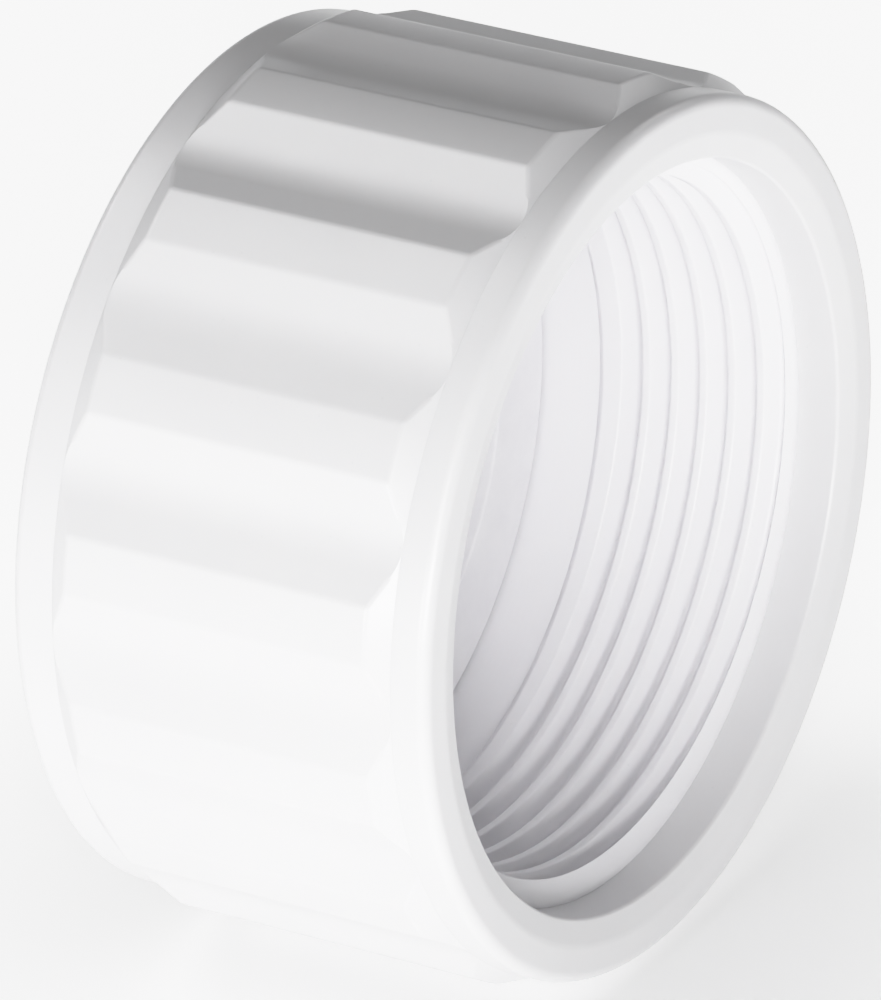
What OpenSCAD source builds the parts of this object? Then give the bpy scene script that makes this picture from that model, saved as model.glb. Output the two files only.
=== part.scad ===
// Moulded screw cap for a pipe end, lying on its grip with the mouth towards +X.
// Each sub-part is drawn with the cap's axis upright and the closed end at zero, then laid down.

/* [Cap] */
// Diameter over the plain collars at both ends
cap_d = 85.7; // [84:0.1:90]
// Length from the closed end's rim to the mouth
cap_l = 45; // [44:0.5:60]
// Radius of the rounded outside edges
edge_r = 1.2; // [0.4:0.1:2]

/* [Grip] */
// Number of lobes round the grip
lobe_count = 16; // [12:1:24]
// Height of a lobe above the collars
lobe_h = 1.4; // [0.8:0.1:2.5]
// Part of a lobe's width that its rounded top takes
land_share = 0.33; // [0.2:0.01:0.6]
// Length of the slope at each end of the lobes
slope_l = 2.1; // [1:0.1:4]
// Width of the collar at the mouth
mouth_collar_w = 3.8; // [3:0.1:4.8]
// Width of the collar at the closed end
end_collar_w = 4.6; // [4.2:0.1:6]

/* [Mouth] */
// Diameter where the mouth's flat face ends and its bevel starts
bevel_d = 78.4; // [76:0.1:80]
// Depth of that bevel
bevel_depth = 0.7; // [0.3:0.1:1.5]
// Diameter of the smooth lead-in
lead_d = 73.2; // [72.4:0.1:75]
// Depth from the mouth to the shoulder where the thread starts
lead_l = 5.1; // [4.8:0.1:8]

/* [Thread] */
// Distance from one turn to the next, at eight turns to the inch
pitch = 3.175; // [2.5:0.005:4]
// Diameter over the thread's crests
minor_d = 67.8; // [66:0.1:68.4]
// Diameter at the bottom of the thread's groove
major_d = 71.2; // [70.6:0.1:72.2]
// Length of the threaded stretch
thread_l = 21; // [14:0.5:21.5]
// Angle of the groove's start round the axis
start_angle = 294; // [0:1:359]

/* [Closed end] */
// Diameter of the smooth pocket behind the thread
pocket_d = 69.2; // [69:0.1:70.4]
// Thickness of the end plate
plate_t = 5.1; // [4:0.1:6]
// Diameter of the hollow in the closed end's outside
hollow_d = 75.6; // [70:0.1:77]

/* [Gasket] */
// Outside diameter of the flat gasket, a little over the thread's crests
gasket_d = 68.6; // [68.4:0.1:68.6]
// Diameter of its hole
gasket_hole_d = 52; // [40:1:60]
// Thickness of the gasket
gasket_t = 3; // [2:0.1:4]

/* [Hidden] */
$fn = 96;

cap_r = cap_d / 2;
lobe_r = cap_r + lobe_h;
lobe_pitch = 360 / lobe_count;
land_half = lobe_pitch * land_share / 2;
// The grip band is a shell of its own round the threaded inside
shell_r = 39.4;
// Lying on two neighbouring lobes, the cap touches down on their inner land edges
axis_h = lobe_r * cos(lobe_pitch / 2 - land_half);

collar_z = cap_l - mouth_collar_w;
shoulder_z = cap_l - lead_l;
thread_end_z = shoulder_z - thread_l;
floor_z = end_collar_w + plate_t;
over = 1;

// Thread groove: 60 degree flanks with a flat at the root
flank_tan = tan(30);
root_half = pitch / 16;
groove_in_r = minor_d / 2 - 0.3;
groove_h = major_d / 2 - groove_in_r;
// The groove starts above the shoulder and fades out over its last stretch
groove_start_z = shoulder_z + 0.7;
groove_turns = 6.7;
fade_turns = 0.9;
steps_per_turn = 40;
groove_steps = round(groove_turns * steps_per_turn);

module lay_down() {
    translate([-cap_l / 2, 0, axis_h])
        rotate([0, 90, 0])
            children();
}

// Ring of rectangular section between two radii and two heights
module ring(r_in, r_out, z_low, z_high) {
    translate([0, 0, z_low])
        difference() {
            cylinder(r = r_out, h = z_high - z_low);
            translate([0, 0, -over])
                cylinder(r = r_in, h = z_high - z_low + 2 * over);
        }
}

// What a rounded corner takes away; s is 1 for an upper edge and -1 for a lower one
module corner_waste(r, z, s) {
    translate([r - edge_r, z - s * edge_r])
        difference() {
            translate([0, s > 0 ? 0 : -edge_r - over])
                square([edge_r + over, edge_r + over]);
            circle(r = edge_r);
        }
}

module mouth_collar() {
    bevel_w = (bevel_d - lead_d) / 2;
    color("white")
        lay_down()
            rotate_extrude()
                difference() {
                    polygon([
                        [lead_d / 2, shoulder_z],
                        [shell_r, shoulder_z],
                        [shell_r, collar_z],
                        [cap_r, collar_z],
                        [cap_r, cap_l],
                        [lead_d / 2 + bevel_w, cap_l],
                        [lead_d / 2, cap_l - bevel_depth]
                    ]);
                    corner_waste(cap_r, cap_l, 1);
                }
}

// Outline of the lobes: creases at the collars' radius, flat flanks and, cut off by a circle, round lands
module grip_outline() {
    land_x = lobe_r * cos(land_half);
    land_y = lobe_r * sin(land_half);
    crease_x = cap_r * cos(lobe_pitch / 2);
    crease_y = cap_r * sin(lobe_pitch / 2);
    // Where a lobe's two flanks would meet above its land
    tip_r = land_x + land_y * (land_x - crease_x) / (crease_y - land_y);
    intersection() {
        polygon([for (i = [0 : 2 * lobe_count - 1])
            let (r = i % 2 == 0 ? cap_r : tip_r, a = i * lobe_pitch / 2)
            [r * cos(a), r * sin(a)]]);
        circle(r = lobe_r);
    }
}

// Solid of revolution that slopes the lobes' ends down to the collars
module grip_limits() {
    rotate_extrude()
        polygon([
            [0, end_collar_w],
            [cap_r, end_collar_w],
            [lobe_r, end_collar_w + slope_l],
            [lobe_r + over, end_collar_w + slope_l],
            [lobe_r + over, collar_z - slope_l],
            [lobe_r, collar_z - slope_l],
            [cap_r, collar_z],
            [0, collar_z]
        ]);
}

module grip_band() {
    color("white")
        lay_down()
            difference() {
                intersection() {
                    linear_extrude(cap_l)
                        grip_outline();
                    grip_limits();
                }
                translate([0, 0, -over])
                    cylinder(r = shell_r, h = cap_l + 2 * over);
            }
}

module end_collar() {
    color("white")
        lay_down()
            rotate_extrude()
                difference() {
                    polygon([
                        [hollow_d / 2, 0],
                        [cap_r, 0],
                        [cap_r, end_collar_w],
                        [hollow_d / 2, end_collar_w]
                    ]);
                    corner_waste(cap_r, 0, -1);
                }
}

module end_plate() {
    color("white")
        lay_down()
            translate([0, 0, end_collar_w])
                cylinder(r = shell_r, h = plate_t);
}

module pocket_ring() {
    color("white")
        lay_down()
            ring(pocket_d / 2, shell_r, floor_z, thread_end_z);
}

// Depth of the groove, as a share of its full depth, at t turns from its start
function groove_share(t) = min(1, max(0.02, (groove_turns - t) / fade_turns));

// Four corners of the groove's section at step i
function groove_section(i) =
    let (
        t = i / steps_per_turn,
        a = start_angle - 360 * t,
        z = groove_start_z - pitch * t,
        h = groove_h * groove_share(t),
        r = groove_in_r + h,
        w = root_half + h * flank_tan
    )
    [for (c = [[groove_in_r, -w], [r, -root_half], [r, root_half], [groove_in_r, w]])
        [c[0] * cos(a), c[0] * sin(a), z + c[1]]];

module thread_groove() {
    points = [for (i = [0 : groove_steps]) each groove_section(i)];
    last = 4 * groove_steps;
    sides = [for (i = [0 : groove_steps - 1], k = [0 : 3])
        let (p = 4 * i + k, q = 4 * i + (k + 1) % 4)
        each [[p, q + 4, q], [p, p + 4, q + 4]]];
    polyhedron(
        points = points,
        faces = concat([[0, 1, 2, 3]], sides, [[last + 3, last + 2, last + 1, last]])
    );
}

module thread_sleeve() {
    lead_drop = 1;
    run_in = (pocket_d - minor_d) / 2;
    color("white")
        lay_down()
            difference() {
                rotate_extrude()
                    polygon([
                        [minor_d / 2, thread_end_z + run_in],
                        [pocket_d / 2, thread_end_z],
                        [shell_r, thread_end_z],
                        [shell_r, shoulder_z],
                        [lead_d / 2, shoulder_z],
                        [minor_d / 2, shoulder_z - lead_drop]
                    ]);
                thread_groove();
            }
}

module gasket() {
    color("whitesmoke")
        lay_down()
            ring(gasket_hole_d / 2, gasket_d / 2, floor_z, floor_z + gasket_t);
}

mouth_collar();
grip_band();
end_collar();
end_plate();
pocket_ring();
thread_sleeve();
gasket();
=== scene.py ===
"""Looks of a moulded screw cap: lobed grip, threaded inside, flat gasket, and a plain studio stage."""

import math
from collections import Counter

import bpy
from mathutils import Matrix, Vector


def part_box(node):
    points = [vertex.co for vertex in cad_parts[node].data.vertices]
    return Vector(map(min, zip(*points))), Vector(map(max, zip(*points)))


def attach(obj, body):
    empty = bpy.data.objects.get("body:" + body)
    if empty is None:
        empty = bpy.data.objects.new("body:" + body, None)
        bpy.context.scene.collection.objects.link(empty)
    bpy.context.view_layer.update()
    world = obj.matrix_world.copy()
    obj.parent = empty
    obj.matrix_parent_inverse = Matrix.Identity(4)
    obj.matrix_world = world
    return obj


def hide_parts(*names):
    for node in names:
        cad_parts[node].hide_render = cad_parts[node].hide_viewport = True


bl_info = {
    "name": "Moulded Pipe Cap",
    "version": (1, 0, 0),
    "blender": (4, 5, 0),
    "location": "3D Viewport > Sidebar > Pipe Cap",
    "description": "Models the pieces of a moulded screw cap round its packed frame",
    "category": "Add Mesh",
}

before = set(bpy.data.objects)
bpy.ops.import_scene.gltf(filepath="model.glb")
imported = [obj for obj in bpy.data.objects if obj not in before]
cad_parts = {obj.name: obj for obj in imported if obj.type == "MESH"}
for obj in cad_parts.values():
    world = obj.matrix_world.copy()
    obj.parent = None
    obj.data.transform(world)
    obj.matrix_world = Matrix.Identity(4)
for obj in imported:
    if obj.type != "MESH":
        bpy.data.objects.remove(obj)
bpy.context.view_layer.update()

MM = 0.001
# The cap's axis runs along X at this height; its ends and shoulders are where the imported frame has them
AXIS_Z = (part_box("thread_sleeve")[0].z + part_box("thread_sleeve")[1].z) / 2
MOUTH_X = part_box("mouth_collar")[1].x
SHOULDER_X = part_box("thread_sleeve")[1].x
THREAD_END_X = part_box("thread_sleeve")[0].x
FLOOR_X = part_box("end_plate")[1].x
HOLLOW_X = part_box("end_plate")[0].x
END_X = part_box("end_collar")[0].x
GRIP_LOW_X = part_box("grip_band")[0].x
GRIP_HIGH_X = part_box("grip_band")[1].x
GASKET_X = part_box("gasket")[1].x
GASKET_R = (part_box("gasket")[1].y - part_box("gasket")[0].y) / 2
TURN = 2 * math.pi
# Points closer than MERGE are merged, and places and angles closer than these are taken as the same
MERGE = 0.0005 * MM
NEAR = 0.01 * MM
NEAR_ANGLE = 0.001


# ---------------------------------------------------------------- sizes and colours

def length(name, description, default):
    return bpy.props.FloatProperty(
        name=name, description=description, default=default, min=0.0, subtype="DISTANCE", unit="LENGTH")


def colour(name, description, default):
    return bpy.props.FloatVectorProperty(
        name=name, description=description, default=default, size=3, min=0.0, max=1.0, subtype="COLOR")


class CapSizes(bpy.types.PropertyGroup):
    collar_radius: length("Collar radius", "Radius of the plain collars at both ends", 42.85 * MM)
    shell_radius: length("Shell radius", "Radius where the grip meets the threaded inside", 39.4 * MM)
    outer_edge: length("Outer edge radius", "Rounding of the collars' outside edges", 1.2 * MM)
    bevel_edge: length("Bevel edge radius", "Rounding where the mouth's flat face meets its bevel", 0.35 * MM)
    lead_edge: length("Lead-in edge radius", "Rounding where the bevel meets the lead-in", 0.3 * MM)
    hollow_edge: length("Hollow edge radius", "Rounding of the closed end's inner rim", 0.4 * MM)
    bevel_radius: length("Bevel radius", "Radius where the mouth's flat face ends", 39.2 * MM)
    bevel_depth: length("Bevel depth", "Depth of the bevel round the mouth", 0.7 * MM)
    lead_radius: length("Lead-in radius", "Radius of the smooth wall in front of the thread", 36.6 * MM)
    hollow_radius: length("Hollow radius", "Radius of the hollow in the closed end", 37.8 * MM)
    round_steps: bpy.props.IntProperty(
        name="Steps round", description="Segments round the cap's axis", default=288, min=48, max=512)


class GripSizes(bpy.types.PropertyGroup):
    lobe_count: bpy.props.IntProperty(
        name="Lobes", description="Number of lobes round the grip", default=16, min=8, max=24)
    lobe_height: length("Lobe height", "Height of a lobe above the collars", 1.4 * MM)
    land_share: bpy.props.FloatProperty(
        name="Land share", description="Part of a lobe's width that its rounded top takes",
        default=0.33, min=0.1, max=0.8, subtype="FACTOR")
    crease_share: bpy.props.FloatProperty(
        name="Crease share", description="Part of a flank that the hollow rounding at its foot takes",
        default=0.5, min=0.1, max=0.9, subtype="FACTOR")
    slope_length: length("Slope length", "Length of the slope at each end of a lobe", 2.1 * MM)
    edge_width: length("Edge softness", "Width of the rounding on the lobes' edges", 0.35 * MM)


class ThreadSizes(bpy.types.PropertyGroup):
    pitch: length("Pitch", "Distance from one turn to the next", 3.175 * MM)
    crest_radius: length("Crest radius", "Radius at the thread's inner crests", 33.9 * MM)
    root_radius: length("Root radius", "Radius at the bottom of the thread's groove", 35.6 * MM)
    crest_round: length("Crest rounding", "Rounding where a flank meets a crest", 0.3 * MM)
    root_round: length("Root rounding", "Rounding where a flank meets the groove's root", 0.12 * MM)
    overcut: length("Overcut", "How far inside the crests the cutting shape starts", 0.4 * MM)
    end_gap: length("End gap", "From the sleeve's inner end to the middle of the groove's end", 0.43 * MM)
    turns: bpy.props.IntProperty(name="Turns", description="Turns of the groove", default=7, min=2, max=12)
    fade_turns: bpy.props.FloatProperty(
        name="Fading turns", description="Turns over which the groove runs out",
        default=0.9, min=0.1, max=2.0)
    pocket_radius: length("Pocket radius", "Radius of the smooth wall behind the thread", 34.6 * MM)
    pocket_bevel: length("Pocket bevel", "Bevel where that wall meets the cap's floor", 0.25 * MM)
    end_angle: bpy.props.FloatProperty(
        name="End angle", description="Where the groove runs out, from +Y towards +Z",
        default=math.radians(312), subtype="ANGLE", unit="ROTATION")


class GasketSizes(bpy.types.PropertyGroup):
    hole_radius: length("Hole radius", "Radius of the gasket's hole", 26.0 * MM)
    edge_round: length("Edge rounding", "Rounding of the gasket's edges", 0.3 * MM)


class PlateSizes(bpy.types.PropertyGroup):
    dimple_radius: length("Dimple radius", "Radius of the dimple's flat bottom", 5.0 * MM)
    dimple_slope: length("Dimple slope", "Width of the dimple's sloping side", 1.2 * MM)
    dimple_depth: length("Dimple depth", "Depth of the dimple", 0.5 * MM)
    gate_radius: length("Gate radius", "Radius of the gate mark's flat top", 1.3 * MM)
    gate_slope: length("Gate slope", "Width of the gate mark's sloping side", 0.2 * MM)
    gate_edge: length("Gate edge radius", "Rounding of the gate mark's edges", 0.1 * MM)
    dimple_edge: length("Dimple edge radius", "Rounding of the dimple's edges", 0.6 * MM)
    gate_drop: length("Gate drop", "From the plate's outside down to the gate mark's top", 0.15 * MM)
    rim_fillet: length("Rim fillet", "Fillet between the plate and the rim round it", 0.8 * MM)


class CapColours(bpy.types.PropertyGroup):
    outside: colour("Outside", "Plastic of the grip and the collars", (0.715, 0.711, 0.718))
    # The inside colour is the outside's plastic painted lighter: painted light on the thread, the pocket and
    # the floor
    inside: colour("Inside", "Plastic of the thread and the pocket", (0.84, 0.832, 0.852))
    gasket: colour("Gasket", "Rubber of the gasket", (0.82, 0.812, 0.83))
    floor: colour("Floor", "Plain floor under the cap", (0.9, 0.9, 0.9))


# ---------------------------------------------------------------- modelling helpers

ROUNDING_STEPS = 6


def deselect_all():
    if bpy.context.object and bpy.context.object.mode != "OBJECT":
        bpy.ops.object.mode_set(mode="OBJECT")
    bpy.ops.object.select_all(action="DESELECT")


def activate(obj):
    deselect_all()
    obj.select_set(True)
    bpy.context.view_layer.objects.active = obj


def pick(obj, kind, test):
    """Selects in edit mode the vertices, edges or faces for which test is true."""
    bpy.ops.object.mode_set(mode="EDIT")
    bpy.ops.mesh.select_mode(type=kind)
    bpy.ops.mesh.select_all(action="DESELECT")
    bpy.ops.object.mode_set(mode="OBJECT")
    items = {"VERT": obj.data.vertices, "EDGE": obj.data.edges, "FACE": obj.data.polygons}[kind]
    count = 0
    for item in items:
        if test(item):
            item.select = True
            count += 1
    bpy.ops.object.mode_set(mode="EDIT")
    if not count:
        raise RuntimeError(f"{obj.name}: nothing to select")


def on_axis(x, r):
    """Point of a profile drawn above the cap's axis."""
    return Vector((x, 0.0, AXIS_Z + r))


def radius_of(co):
    return math.hypot(co.y, co.z - AXIS_Z)


def open_edges(obj):
    """Keys of the edges that belong to one face only."""
    uses = Counter(key for face in obj.data.polygons for key in face.edge_keys)
    return {key for key, count in uses.items() if count == 1}


def draw_profile(name, points):
    """Closed outline above the axis, drawn by extruding one corner of a plane from point to point.
    Each point is (x, radius, rounding)."""
    deselect_all()
    bpy.ops.mesh.primitive_plane_add(size=MM, location=(0, 0, 0))
    obj = bpy.context.object
    obj.name = obj.data.name = name
    pick(obj, "VERT", lambda v: v.index > 0)
    bpy.ops.mesh.delete(type="VERT")
    bpy.ops.mesh.select_all(action="SELECT")
    bpy.ops.object.mode_set(mode="OBJECT")
    here = obj.data.vertices[0].co.copy()
    bpy.ops.object.mode_set(mode="EDIT")
    stops = [on_axis(x, r) for x, r, _ in points]
    bpy.ops.transform.translate(value=stops[0] - here)
    for a, b in zip(stops, stops[1:]):
        bpy.ops.mesh.extrude_region_move(TRANSFORM_OT_translate={"value": b - a})
    ends = (0, len(stops) - 1)
    pick(obj, "VERT", lambda v: v.index in ends)
    bpy.ops.mesh.edge_face_add()
    rounded = [(on_axis(x, r), w) for x, r, w in points if w]
    for width in sorted({w for _, w in rounded}):
        spots = [p for p, w in rounded if w == width]
        pick(obj, "VERT", lambda v: any((v.co - p).length < MERGE for p in spots))
        bpy.ops.mesh.bevel(offset=width, segments=ROUNDING_STEPS, affect="VERTICES")
    bpy.ops.object.mode_set(mode="OBJECT")
    return obj


def spin_round(obj, steps):
    """Turns the outline once round the cap's axis and closes it."""
    activate(obj)
    bpy.ops.object.mode_set(mode="EDIT")
    bpy.ops.mesh.select_all(action="SELECT")
    bpy.ops.mesh.spin(steps=steps, angle=TURN, center=(0, 0, AXIS_Z), axis=(1, 0, 0))
    bpy.ops.mesh.select_all(action="SELECT")
    bpy.ops.mesh.remove_doubles(threshold=MERGE)
    bpy.ops.mesh.normals_make_consistent(inside=False)
    bpy.ops.object.mode_set(mode="OBJECT")


def soften(obj, angle=28):
    """Smooth shading that leaves the flat faces flat."""
    activate(obj)
    bpy.ops.object.shade_smooth_by_angle(angle=math.radians(angle))
    mod = obj.modifiers.new("Even normals", "WEIGHTED_NORMAL")
    mod.keep_sharp = True
    bpy.ops.object.modifier_apply(modifier=mod.name)


def finish_piece(obj, body, slot, material, *nodes):
    """Gives the piece its body and material, and puts it in place of its CAD nodes. The slot is not used."""
    activate(obj)
    bpy.ops.object.transform_apply(location=True, rotation=True, scale=True)
    obj.data.materials.clear()
    obj.data.materials.append(material)
    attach(obj, body)
    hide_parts(*nodes)


def turned_piece(name, points, body, slot, material, node):
    """Piece that is the same all round: its outline is drawn, spun, smoothed and finished."""
    obj = draw_profile(name, points)
    spin_round(obj, bpy.context.scene.cap_sizes.round_steps)
    soften(obj)
    finish_piece(obj, body, slot, material_named(material), node)
    return obj


# ---------------------------------------------------------------- materials

def add_node(tree, kind, x, y, **values):
    node = tree.nodes.new(kind)
    node.location = (x, y)
    for key, value in values.items():
        if hasattr(node, key):
            setattr(node, key, value)
        else:
            node.inputs[key].default_value = value
    return node


def map_range(tree, source, x, y, ends, results, **values):
    """Turns the range between the two ends into the range between the two results."""
    node = add_node(tree, "ShaderNodeMapRange", x, y, **values)
    for name, value in zip(("From Min", "From Max", "To Min", "To Max"), (*ends, *results)):
        node.inputs[name].default_value = value
    tree.links.new(source, node.inputs["Value"])
    return node.outputs["Result"]


def tone_range(tree, source, x, y, ends, tint, shade):
    """Colours between the tint and a shade of it."""
    node = add_node(tree, "ShaderNodeValToRGB", x, y)
    low, high = node.color_ramp.elements
    low.position, high.position = ends
    low.color = (*(t * k for t, k in zip(tint, shade)), 1)
    high.color = (*tint, 1)
    tree.links.new(source, node.inputs["Fac"])
    return node.outputs["Color"]


def relief(tree, height, x, y, strength, depth, below=None):
    """Bumps of the given depth, on top of the relief below where there is one."""
    node = add_node(tree, "ShaderNodeBump", x, y, Strength=strength, Distance=depth)
    tree.links.new(height, node.inputs["Height"])
    if below:
        tree.links.new(below, node.inputs["Normal"])
    return node.outputs["Normal"]


def texture(tree, kind, x, y, **values):
    """Texture that reads the piece's own coordinates."""
    node = add_node(tree, kind, x, y, **values)
    tree.links.new(tree.nodes["Texture Coordinate"].outputs["Object"], node.inputs["Vector"])
    return node


def new_material(name):
    material = bpy.data.materials.new(name)
    material.use_nodes = True
    tree = material.node_tree
    add_node(tree, "ShaderNodeTexCoord", -1300, 0)
    return material, tree, tree.nodes["Principled BSDF"].inputs


def moulded_plastic(name, tint, roughness, marks=0.0):
    """Satin white moulding with faint cloudiness and the skin of a polished mould.
    Where marks is over 0, the surface has fine marks round the cap's axis too."""
    material, tree, shader = new_material(name)
    link = tree.links.new
    shader["IOR"].default_value = 1.53
    shader["Subsurface Weight"].default_value = 0.12
    shader["Subsurface Radius"].default_value = (1.0, 0.9, 0.85)
    shader["Subsurface Scale"].default_value = 1.2 * MM

    cloud = texture(tree, "ShaderNodeTexNoise", -1050, 250, Scale=55.0, Detail=4.0, Roughness=0.55)
    specks = texture(tree, "ShaderNodeTexVoronoi", -1050, 520, Scale=420.0)
    speckled = add_node(tree, "ShaderNodeMix", -520, 350,
                        data_type="RGBA", blend_type="MULTIPLY", Factor=1.0)
    link(tone_range(tree, cloud.outputs["Fac"], -800, 250, (0.3, 0.72), tint, (0.975, 0.975, 0.98)),
         speckled.inputs["A"])
    link(map_range(tree, specks.outputs["Distance"], -800, 520, (0.02, 0.07), (0.95, 1.0)),
         speckled.inputs["B"])
    link(speckled.outputs["Result"], shader["Base Color"])

    smudge = texture(tree, "ShaderNodeTexNoise", -1050, -50, Scale=90.0, Detail=5.0, Roughness=0.6)
    link(map_range(tree, smudge.outputs["Fac"], -520, 0, (0.3, 0.7), (roughness - 0.05, roughness + 0.06)),
         shader["Roughness"])

    skin = texture(tree, "ShaderNodeTexNoise", -1050, -350, Scale=1500.0, Detail=3.0, Roughness=0.5)
    normal = relief(tree, skin.outputs["Fac"], -300, -350, 0.12, 0.03 * MM)
    if marks:
        rings = texture(tree, "ShaderNodeTexWave", -1050, -650, wave_type="BANDS", bands_direction="X",
                        Scale=420.0, Distortion=0.6, Detail=2.0)
        normal = relief(tree, rings.outputs["Fac"], -80, -450, marks, 0.02 * MM, below=normal)
    link(normal, shader["Normal"])
    return material


def gasket_rubber(name, tint):
    """Matt moulded rubber with a powdery bloom."""
    material, tree, shader = new_material(name)
    link = tree.links.new
    shader["IOR"].default_value = 1.5
    shader["Sheen Weight"].default_value = 0.1
    bloom = texture(tree, "ShaderNodeTexNoise", -850, 200, Scale=140.0, Detail=6.0, Roughness=0.65)
    link(tone_range(tree, bloom.outputs["Fac"], -600, 200, (0.32, 0.7), tint, (0.93, 0.93, 0.94)),
         shader["Base Color"])
    link(map_range(tree, bloom.outputs["Fac"], -400, -50, (0.0, 1.0), (0.55, 0.75)), shader["Roughness"])
    pores = texture(tree, "ShaderNodeTexNoise", -850, -300, Scale=2200.0, Detail=2.0)
    link(relief(tree, pores.outputs["Fac"], -300, -300, 0.25, 0.04 * MM), shader["Normal"])
    return material


def material_named(name):
    """The cap's materials, each made the first time that a piece needs it."""
    if name in bpy.data.materials:
        return bpy.data.materials[name]
    colours = bpy.context.scene.cap_colours
    if name == "Outside plastic":
        return moulded_plastic(name, colours.outside, 0.33)
    # Inside and outside are one plastic; the inside's lighter colour is painted light
    if name == "Inside plastic painted lighter":
        return moulded_plastic(name, colours.inside, 0.36, marks=0.25)
    return gasket_rubber(name, colours.gasket)


# ---------------------------------------------------------------- pieces

class CAP_OT_mouth_collar(bpy.types.Operator):
    """Model the plain collar round the mouth, with its bevel and smooth lead-in"""
    bl_idname = "cap.mouth_collar"
    bl_label = "Mouth Collar"
    bl_options = {"REGISTER", "UNDO"}

    def execute(self, context):
        size = context.scene.cap_sizes
        turned_piece("collar_at_mouth", [
            (SHOULDER_X, size.lead_radius, 0),
            (SHOULDER_X, size.shell_radius, 0),
            (GRIP_HIGH_X, size.shell_radius, 0),
            (GRIP_HIGH_X, size.collar_radius, 0),
            (MOUTH_X, size.collar_radius, size.outer_edge),
            (MOUTH_X, size.bevel_radius, size.bevel_edge),
            (MOUTH_X - size.bevel_depth, size.lead_radius, size.lead_edge),
        ], "cap", "plastic", "Outside plastic", "mouth_collar")
        return {"FINISHED"}


class CAP_OT_end_collar(bpy.types.Operator):
    """Model the plain collar round the closed end, which stands proud of the end plate"""
    bl_idname = "cap.end_collar"
    bl_label = "End Collar"
    bl_options = {"REGISTER", "UNDO"}

    def execute(self, context):
        size = context.scene.cap_sizes
        turned_piece("collar_at_closed_end", [
            (END_X, size.hollow_radius, size.hollow_edge),
            (END_X, size.collar_radius, size.outer_edge),
            (HOLLOW_X, size.collar_radius, 0),
            (HOLLOW_X, size.hollow_radius, 0),
        ], "cap", "plastic", "Outside plastic", "end_collar")
        return {"FINISHED"}


class CAP_OT_end_plate(bpy.types.Operator):
    """Model the plate that closes the cap, with its moulding gate in a shallow dimple"""
    bl_idname = "cap.end_plate"
    bl_label = "End Plate"
    bl_options = {"REGISTER", "UNDO"}

    # Flat left in front of the fillet, and how far the fillet's end stands in the rim's wall
    FLAT = 0.1 * MM
    OVERLAP = 0.02 * MM
    # Behind the rim, the plate starts this far out and stays this far from the rim's inner face
    STEP = 0.4 * MM
    GAP = 0.1 * MM

    def execute(self, context):
        size, plate = context.scene.cap_sizes, context.scene.plate_sizes
        dimple_x = HOLLOW_X + plate.dimple_depth
        gate_x = HOLLOW_X + plate.gate_drop
        rim = size.hollow_radius
        obj = turned_piece("plate_closing_end", [
            (gate_x, 0, 0),
            (gate_x, plate.gate_radius, plate.gate_edge),
            (dimple_x, plate.gate_radius + plate.gate_slope, plate.gate_edge),
            (dimple_x, plate.dimple_radius, plate.dimple_edge),
            (HOLLOW_X, plate.dimple_radius + plate.dimple_slope, plate.dimple_edge),
            (HOLLOW_X, rim - plate.rim_fillet - self.FLAT, plate.rim_fillet),
            (HOLLOW_X - plate.rim_fillet, rim + self.OVERLAP, 0),
            (HOLLOW_X + self.GAP, rim + self.STEP, 0),
            (HOLLOW_X + self.GAP, size.shell_radius, 0),
            (FLOOR_X, size.shell_radius, 0),
            (FLOOR_X, 0, 0),
        ], "cap", "plastic", "Outside plastic", "end_plate")
        # The cap's floor gets the same lighter inside colour as the walls round it: painted light inside the
        # cap
        obj.data.materials.append(material_named("Inside plastic painted lighter"))
        for face in obj.data.polygons:
            if face.center.x > FLOOR_X - NEAR:
                face.material_index = 1
        return {"FINISHED"}


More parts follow.
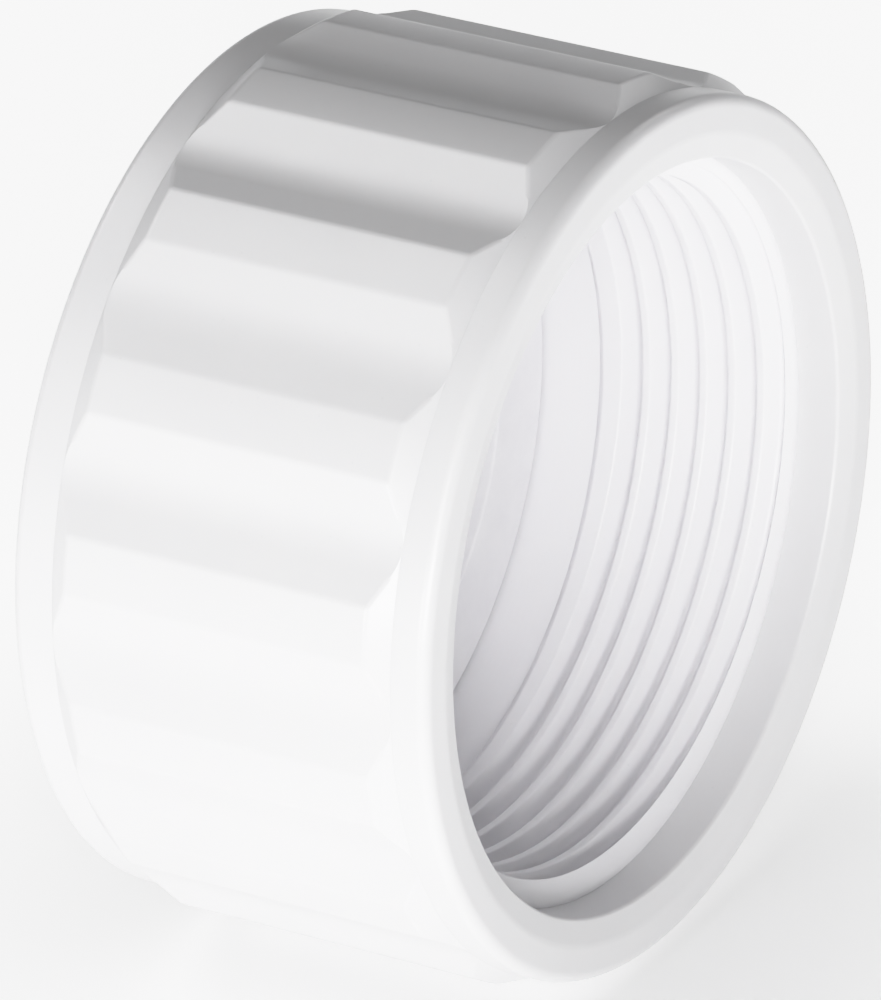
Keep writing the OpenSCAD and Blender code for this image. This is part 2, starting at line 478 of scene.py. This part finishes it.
class CAP_OT_grip_band(bpy.types.Operator):
    """Model one lobe, copy it round the axis and close the band behind"""
    bl_idname = "cap.grip_band"
    bl_label = "Grip Band"
    bl_options = {"REGISTER", "UNDO"}

    LAND_STEPS = 6
    CREASE_STEPS = 5
    EDGE_STEPS = 4
    # Edges between the lobes' steps are smooth below this angle in degrees, and the slopes' feet stay sharp
    SMOOTH_BELOW = 11

    def lobe_outline(self, collar_r, grip):
        """Angle from the lobe's middle and radius of each column, from crease to crease."""
        half = math.pi / grip.lobe_count
        land = half * grip.land_share
        flank = half - land
        hollow = flank * grip.crease_share
        steepness = grip.lobe_height / (flank - hollow / 2)
        foot = []
        for i in range(self.CREASE_STEPS + 1):
            step = hollow * i / self.CREASE_STEPS
            foot.append((half - step, collar_r + steepness * step * step / (2 * hollow)))
        top = collar_r + grip.lobe_height
        columns = [(-angle, r) for angle, r in foot]
        columns += [(-land + 2 * land * i / self.LAND_STEPS, top) for i in range(self.LAND_STEPS + 1)]
        return columns + foot[::-1]

    def execute(self, context):
        size, grip = context.scene.cap_sizes, context.scene.grip_sizes
        collar_r = size.collar_radius
        columns = self.lobe_outline(collar_r, grip)
        deselect_all()
        bpy.ops.mesh.primitive_grid_add(
            x_subdivisions=len(columns) - 1, y_subdivisions=3, size=MM, location=(0, 0, 0))
        obj = bpy.context.object
        obj.name = obj.data.name = "grip_with_lobes"
        # The grid's rows become the foot and the top of the slope at each end
        wide = len(columns)
        first = math.pi / 2 + math.pi / grip.lobe_count
        for v in obj.data.vertices:
            row, column = divmod(v.index, wide)
            angle, r = columns[column]
            rise = grip.slope_length * (r - collar_r) / grip.lobe_height
            x = (GRIP_LOW_X, GRIP_LOW_X + rise, GRIP_HIGH_X - rise, GRIP_HIGH_X)[row]
            r = collar_r if row in (0, 3) else r
            v.co = (x, r * math.cos(first + angle), AXIS_Z + r * math.sin(first + angle))
        bpy.ops.object.mode_set(mode="EDIT")
        bpy.ops.mesh.select_all(action="SELECT")
        bpy.ops.mesh.remove_doubles(threshold=MERGE)
        bpy.ops.mesh.select_all(action="SELECT")
        bpy.ops.mesh.spin(
            steps=grip.lobe_count, angle=TURN, dupli=True, center=(0, 0, AXIS_Z), axis=(1, 0, 0))
        bpy.ops.mesh.select_all(action="SELECT")
        bpy.ops.mesh.remove_doubles(threshold=MERGE)
        bpy.ops.object.mode_set(mode="OBJECT")
        self.close_behind(obj, size)
        self.soften_edges(obj, collar_r, grip)
        soften(obj, self.SMOOTH_BELOW)
        finish_piece(obj, "cap", "plastic", material_named("Outside plastic"), "grip_band")
        return {"FINISHED"}

    def soften_edges(self, obj, collar_r, grip):
        """Rounds the edges round each land and down the sides of the slopes."""
        at = [v.co.copy() for v in obj.data.vertices]
        top = collar_r + grip.lobe_height
        land = math.pi / grip.lobe_count * grip.land_share
        pitch = TURN / grip.lobe_count

        def is_top(co):
            return abs(radius_of(co) - top) < NEAR

        def land_edge(co):
            turn = math.atan2(co.z - AXIS_Z, co.y) - math.pi / 2
            turn = turn % pitch - pitch / 2
            return abs(abs(turn) - land) < NEAR_ANGLE

        def wanted(edge):
            a, b = (at[i] for i in edge.vertices)
            if abs(a.x - b.x) > 2 * grip.slope_length:
                return is_top(a) and land_edge(a)
            if is_top(a) and is_top(b):
                return True
            low, high = sorted((a, b), key=radius_of)
            return is_top(high) and GRIP_LOW_X + NEAR < low.x < GRIP_HIGH_X - NEAR

        pick(obj, "EDGE", wanted)
        bpy.ops.mesh.bevel(
            offset=grip.edge_width, segments=self.EDGE_STEPS, affect="EDGES", clamp_overlap=True)
        bpy.ops.mesh.select_all(action="SELECT")
        bpy.ops.mesh.normals_make_consistent(inside=False)
        bpy.ops.object.mode_set(mode="OBJECT")

    def close_behind(self, obj, size):
        """Extrudes both rims in to the shell's radius and bridges them."""
        shrink = size.shell_radius / size.collar_radius
        for x in (GRIP_LOW_X, GRIP_HIGH_X):
            at = [v.co.copy() for v in obj.data.vertices]
            rim = {k for k in open_edges(obj) if all(abs(at[i].x - x) < NEAR for i in k)
                   and all(radius_of(at[i]) > size.shell_radius + MM for i in k)}
            pick(obj, "EDGE", lambda e: tuple(sorted(e.vertices)) in rim)
            bpy.ops.mesh.extrude_edges_move()
            bpy.ops.transform.resize(value=(1, shrink, shrink), center_override=(0, 0, AXIS_Z))
            bpy.ops.object.mode_set(mode="OBJECT")
        inner = size.shell_radius + 0.5 * MM
        at = [v.co.copy() for v in obj.data.vertices]
        pick(obj, "EDGE", lambda e: all(radius_of(at[i]) < inner for i in e.vertices))
        bpy.ops.mesh.bridge_edge_loops()
        bpy.ops.mesh.select_all(action="SELECT")
        bpy.ops.mesh.normals_make_consistent(inside=False)
        bpy.ops.object.mode_set(mode="OBJECT")


class CAP_OT_thread_sleeve(bpy.types.Operator):
    """Model the sleeve inside the cap and cut a right-hand thread groove into it"""
    bl_idname = "cap.thread_sleeve"
    bl_label = "Threaded Sleeve"
    bl_options = {"REGISTER", "UNDO"}

    STEPS = 96
    CREST_STEPS = 4
    # Lean of each flank from a plane across the axis, and how far a crest's rounding turns into it
    FLANK_LEAN = math.radians(30)
    CREST_TURN = math.radians(60)
    # Half of the groove's flat root, as a share of the pitch
    ROOT_SHARE = 1 / 16
    # Points that round the root's corner, as shares of its rounding along the root and up from it
    ROOT_ROUNDING = ((1, 1.2), (0, 0.3), (-1, 0))
    # Share of its depth that the groove keeps where it runs out, so that the cutting shape never goes flat
    LEAST_DEPTH = 0.02
    # The first crest slopes up to the shoulder over this length
    LEAD_DROP = 1.0 * MM
    SMOOTH_BELOW = 30
    FEWEST_FACES = 5000

    def groove_outline(self, thread):
        """Half of the groove's section as (distance from its middle, radius), from inside to the root."""
        slope = math.tan(self.FLANK_LEAN)
        root_half = thread.pitch * self.ROOT_SHARE
        crest_half = root_half + (thread.root_radius - thread.crest_radius) * slope
        rounding, soft = thread.crest_round, thread.root_round
        reach = crest_half + rounding * slope
        half = [(reach, thread.crest_radius - thread.overcut)]
        for i in range(self.CREST_STEPS + 1):
            a = self.CREST_TURN * i / self.CREST_STEPS
            half.append((reach - rounding * math.sin(a),
                         thread.crest_radius + rounding * (1 - math.cos(a))))
        for across, down in self.ROOT_ROUNDING:
            half.append((root_half + across * soft, thread.root_radius - down * soft))
        return half

    def make_groove(self, thread):
        half = self.groove_outline(thread)
        section = [(-d, r) for d, r in half] + [(d, r) for d, r in reversed(half)]
        start_x = THREAD_END_X + thread.end_gap
        obj = draw_profile("thread_groove", [(start_x + d, r, 0) for d, r in section])
        count = len(obj.data.vertices)
        activate(obj)
        bpy.context.scene.cursor.location = (0, 0, AXIS_Z)
        bpy.ops.object.origin_set(type="ORIGIN_CURSOR")
        screw = obj.modifiers.new("Helix", "SCREW")
        screw.axis = "X"
        screw.angle = TURN
        screw.screw_offset = thread.pitch
        screw.iterations = thread.turns
        screw.steps = screw.render_steps = self.STEPS
        screw.use_merge_vertices = False
        bpy.ops.object.modifier_apply(modifier=screw.name)
        self.fade_out(obj, thread, count)
        obj.rotation_euler[0] = thread.end_angle - math.pi / 2
        bpy.ops.object.transform_apply(location=True, rotation=True, scale=True)
        ends = open_edges(obj)
        middle = sum(v.co.x for v in obj.data.vertices) / len(obj.data.vertices)
        at = [v.co.copy() for v in obj.data.vertices]
        for side in (-1, 1):
            pick(obj, "EDGE", lambda e: tuple(sorted(e.vertices)) in ends
                 and all(side * (at[i].x - middle) > 0 for i in e.vertices))
            bpy.ops.mesh.edge_face_add()
        bpy.ops.mesh.select_all(action="SELECT")
        bpy.ops.mesh.normals_make_consistent(inside=False)
        bpy.ops.object.mode_set(mode="OBJECT")
        return obj

    def fade_out(self, obj, thread, count):
        """Draws the groove's last stretch in towards the axis, as the moulding's core does."""
        base = thread.crest_radius - thread.overcut
        for v in obj.data.vertices:
            turns = (v.index // count) / self.STEPS
            share = max(self.LEAST_DEPTH, min(1.0, turns / thread.fade_turns))
            r = math.hypot(v.co.y, v.co.z)
            k = (base + (r - base) * share) / r
            v.co.y *= k
            v.co.z *= k

    def execute(self, context):
        size, thread = context.scene.cap_sizes, context.scene.thread_sizes
        run_in = thread.pocket_radius - thread.crest_radius
        obj = draw_profile("sleeve_with_thread", [
            (THREAD_END_X + run_in, thread.crest_radius, 0.2 * MM),
            (THREAD_END_X, thread.pocket_radius, 0),
            (THREAD_END_X, size.shell_radius, 0),
            (SHOULDER_X, size.shell_radius, 0),
            (SHOULDER_X, size.lead_radius - 0.4 * MM, 0.3 * MM),
            (SHOULDER_X - self.LEAD_DROP, thread.crest_radius, 0.3 * MM),
        ])
        spin_round(obj, size.round_steps)
        groove = self.make_groove(thread)
        activate(obj)
        cut = obj.modifiers.new("Thread", "BOOLEAN")
        cut.operation = "DIFFERENCE"
        cut.solver = "EXACT"
        cut.object = groove
        bpy.ops.object.modifier_apply(modifier=cut.name)
        bpy.data.objects.remove(groove)
        if len(obj.data.polygons) < self.FEWEST_FACES:
            raise RuntimeError("the thread groove was not cut")
        soften(obj, self.SMOOTH_BELOW)
        # The sleeve takes the inside colour, the same plastic painted lighter as painted light
        finish_piece(obj, "cap", "plastic", material_named("Inside plastic painted lighter"), "thread_sleeve")
        return {"FINISHED"}


class CAP_OT_pocket_ring(bpy.types.Operator):
    """Model the smooth wall between the thread and the cap's floor"""
    bl_idname = "cap.pocket_ring"
    bl_label = "Gasket Pocket"
    bl_options = {"REGISTER", "UNDO"}

    def execute(self, context):
        size, thread = context.scene.cap_sizes, context.scene.thread_sizes
        # The pocket wall takes the inside colour, the same plastic painted lighter as painted light
        turned_piece("pocket_for_gasket", [
            (FLOOR_X, thread.pocket_radius - thread.pocket_bevel, 0),
            (FLOOR_X + thread.pocket_bevel, thread.pocket_radius, 0.1 * MM),
            (THREAD_END_X, thread.pocket_radius, 0),
            (THREAD_END_X, size.shell_radius, 0),
            (FLOOR_X, size.shell_radius, 0),
        ], "cap", "plastic", "Inside plastic painted lighter", "pocket_ring")
        return {"FINISHED"}


class CAP_OT_gasket(bpy.types.Operator):
    """Model the flat gasket that lies loose on the cap's floor"""
    bl_idname = "cap.gasket"
    bl_label = "Gasket"
    bl_options = {"REGISTER", "UNDO"}

    def execute(self, context):
        ring = context.scene.gasket_sizes
        turned_piece("flat_gasket", [
            (FLOOR_X, ring.hole_radius, ring.edge_round),
            (FLOOR_X, GASKET_R, ring.edge_round),
            (GASKET_X, GASKET_R, ring.edge_round),
            (GASKET_X, ring.hole_radius, ring.edge_round),
        ], "gasket", "gasket", "Gasket rubber", "gasket")
        return {"FINISHED"}


# ---------------------------------------------------------------- stage

class CAP_OT_stage(bpy.types.Operator):
    """Set out a plain pale floor, soft studio lights and the camera"""
    bl_idname = "cap.stage"
    bl_label = "Studio Stage"
    bl_options = {"REGISTER", "UNDO"}

    # Name, azimuth from -Y towards +X and elevation in degrees, diameter in metres, power in watts
    LIGHTS = (
        ("Key light", 40, 3, 0.4, 8.8),
        ("Front light", 20, 3, 0.4, 4.4),
        ("Left front light", -10, 0, 0.25, 6.4),
        ("Mouth light", 31, 24, 0.3, 3.8),
        ("End light", -90, 50, 0.6, 4.8),
        ("Back light", 180, 30, 0.6, 1.6),
    )
    LIGHT_DISTANCE = 1.3
    # Scene light that shows as white, and the curve's other points as (scene light, shown)
    WHITE = 1.7
    TONES = ((0.6, 0.6), (0.8, 0.76), (1.0, 0.86), (1.35, 0.945))
    FLOOR_RADIUS = 6.0
    # The floor's own glow, nearer the cap than the first distance and farther away than the second; the
    # weaker glow near the cap is a painted contact shadow
    PAINTED_SHADOW_REACH = (0.01, 0.09)
    GLOW = (0.3, 0.9)
    # Glow of the surroundings, below the first height and above the second as sines of the elevation
    WALL_HEIGHTS = (0.04, 0.14)
    WALL_GLOW = (1.25, 0.02)
    CAMERA_PLACE = (0.5313, -0.8685, 0.5600)
    CAMERA_RIGHT = (0.8611, 0.5072, -0.0350)
    CAMERA_UP = (-0.2030, 0.4061, 0.8910)

    def execute(self, context):
        scene = context.scene
        self.set_tones(scene)
        self.make_floor(scene)
        self.make_world(scene)
        for light in self.LIGHTS:
            self.make_light(*light)
        self.make_camera(scene)
        return {"FINISHED"}

    def set_tones(self, scene):
        """Plain tones with a soft shoulder, so that white plastic keeps its shape where it is brightest."""
        view = scene.view_settings
        view.view_transform = "Standard"
        view.use_curve_mapping = True
        tones = view.curve_mapping
        tones.white_level = (self.WHITE,) * 3
        for light, shown in self.TONES:
            tones.curves[3].points.new(light / self.WHITE, shown)
        tones.update()

    def make_floor(self, scene):
        """Pale floor with a faint glow of its own, which fades near the cap as a painted contact shadow."""
        deselect_all()
        bpy.ops.mesh.primitive_circle_add(
            vertices=128, radius=self.FLOOR_RADIUS, fill_type="NGON", location=(0, 0, 0))
        floor = bpy.context.object
        floor.name = "studio_floor"
        material, tree, shader = new_material("Floor paper")
        shader["Base Color"].default_value = (*scene.cap_colours.floor, 1)
        shader["Roughness"].default_value = 0.9
        shader["Specular IOR Level"].default_value = 0.1
        shader["Emission Color"].default_value = (1, 1, 1, 1)
        far = add_node(tree, "ShaderNodeVectorMath", -700, 0, operation="LENGTH")
        tree.links.new(tree.nodes["Texture Coordinate"].outputs["Object"], far.inputs[0])
        # Less glow near the cap: a painted contact shadow
        glow = map_range(tree, far.outputs["Value"], -450, 0, self.PAINTED_SHADOW_REACH, self.GLOW,
                         interpolation_type="SMOOTHSTEP")
        tree.links.new(glow, shader["Emission Strength"])
        floor.data.materials.append(material)

    def make_world(self, scene):
        """Pale walls near the horizon under a dark ceiling."""
        world = bpy.data.worlds.new("Studio")
        world.use_nodes = True
        tree = world.node_tree
        air = tree.nodes["Background"]
        air.inputs["Color"].default_value = (0.97, 0.98, 1.0, 1)
        place = add_node(tree, "ShaderNodeTexCoord", -900, 0)
        parts = add_node(tree, "ShaderNodeSeparateXYZ", -700, 0)
        tree.links.new(place.outputs["Generated"], parts.inputs["Vector"])
        wall = map_range(tree, parts.outputs["Z"], -450, 0, self.WALL_HEIGHTS, self.WALL_GLOW,
                         interpolation_type="SMOOTHSTEP")
        tree.links.new(wall, air.inputs["Strength"])
        scene.world = world

    def make_light(self, name, azimuth, elevation, size, power):
        """Round area light that faces the cap."""
        a, e = math.radians(azimuth), math.radians(elevation)
        away = Vector((math.sin(a) * math.cos(e), -math.cos(a) * math.cos(e), math.sin(e)))
        bpy.ops.object.light_add(type="AREA", location=Vector((0, 0, AXIS_Z)) + away * self.LIGHT_DISTANCE)
        lamp = bpy.context.object
        lamp.name = name
        lamp.data.shape = "DISK"
        lamp.data.size = size
        lamp.data.energy = power
        lamp.rotation_euler = (-away).to_track_quat("-Z", "Y").to_euler()

    def make_camera(self, scene):
        bpy.ops.object.camera_add()
        camera = bpy.context.object
        camera.name = "Camera"
        camera.data.sensor_fit = "VERTICAL"
        camera.data.sensor_height = 36.0
        camera.data.lens = 432.0
        camera.data.clip_start = 0.01
        right = Vector(self.CAMERA_RIGHT).normalized()
        up = Vector(self.CAMERA_UP).normalized()
        back = right.cross(up).normalized()
        up = back.cross(right)
        turn = Matrix((right, up, back)).transposed().to_4x4()
        camera.matrix_world = Matrix.Translation(self.CAMERA_PLACE) @ turn
        scene.camera = camera


# ---------------------------------------------------------------- panel and registration

PIECES = (
    CAP_OT_mouth_collar,
    CAP_OT_grip_band,
    CAP_OT_end_collar,
    CAP_OT_end_plate,
    CAP_OT_pocket_ring,
    CAP_OT_thread_sleeve,
    CAP_OT_gasket,
    CAP_OT_stage,
)
GROUPS = {
    "cap_sizes": CapSizes,
    "grip_sizes": GripSizes,
    "thread_sizes": ThreadSizes,
    "gasket_sizes": GasketSizes,
    "plate_sizes": PlateSizes,
    "cap_colours": CapColours,
}


class CAP_PT_panel(bpy.types.Panel):
    """Pieces, sizes and colours of the pipe cap"""
    bl_idname = "CAP_PT_panel"
    bl_label = "Pipe Cap"
    bl_space_type = "VIEW_3D"
    bl_region_type = "UI"
    bl_category = "Pipe Cap"

    def draw(self, context):
        layout = self.layout
        for operator in PIECES:
            layout.operator(operator.bl_idname)
        for group in GROUPS:
            box = layout.box()
            holder = getattr(context.scene, group)
            for key in holder.__annotations__:
                box.prop(holder, key)


def register():
    for group, cls in GROUPS.items():
        bpy.utils.register_class(cls)
        setattr(bpy.types.Scene, group, bpy.props.PointerProperty(type=cls))
    for cls in (*PIECES, CAP_PT_panel):
        bpy.utils.register_class(cls)


def unregister():
    for cls in reversed((*PIECES, CAP_PT_panel)):
        bpy.utils.unregister_class(cls)
    for group, cls in GROUPS.items():
        delattr(bpy.types.Scene, group)
        bpy.utils.unregister_class(cls)


def main():
    register()
    bpy.ops.cap.mouth_collar()
    bpy.ops.cap.grip_band()
    bpy.ops.cap.end_collar()
    bpy.ops.cap.end_plate()
    bpy.ops.cap.pocket_ring()
    bpy.ops.cap.thread_sleeve()
    bpy.ops.cap.gasket()
    bpy.ops.cap.stage()
    bpy.context.view_layer.update()


if __name__ == "__main__":
    main()
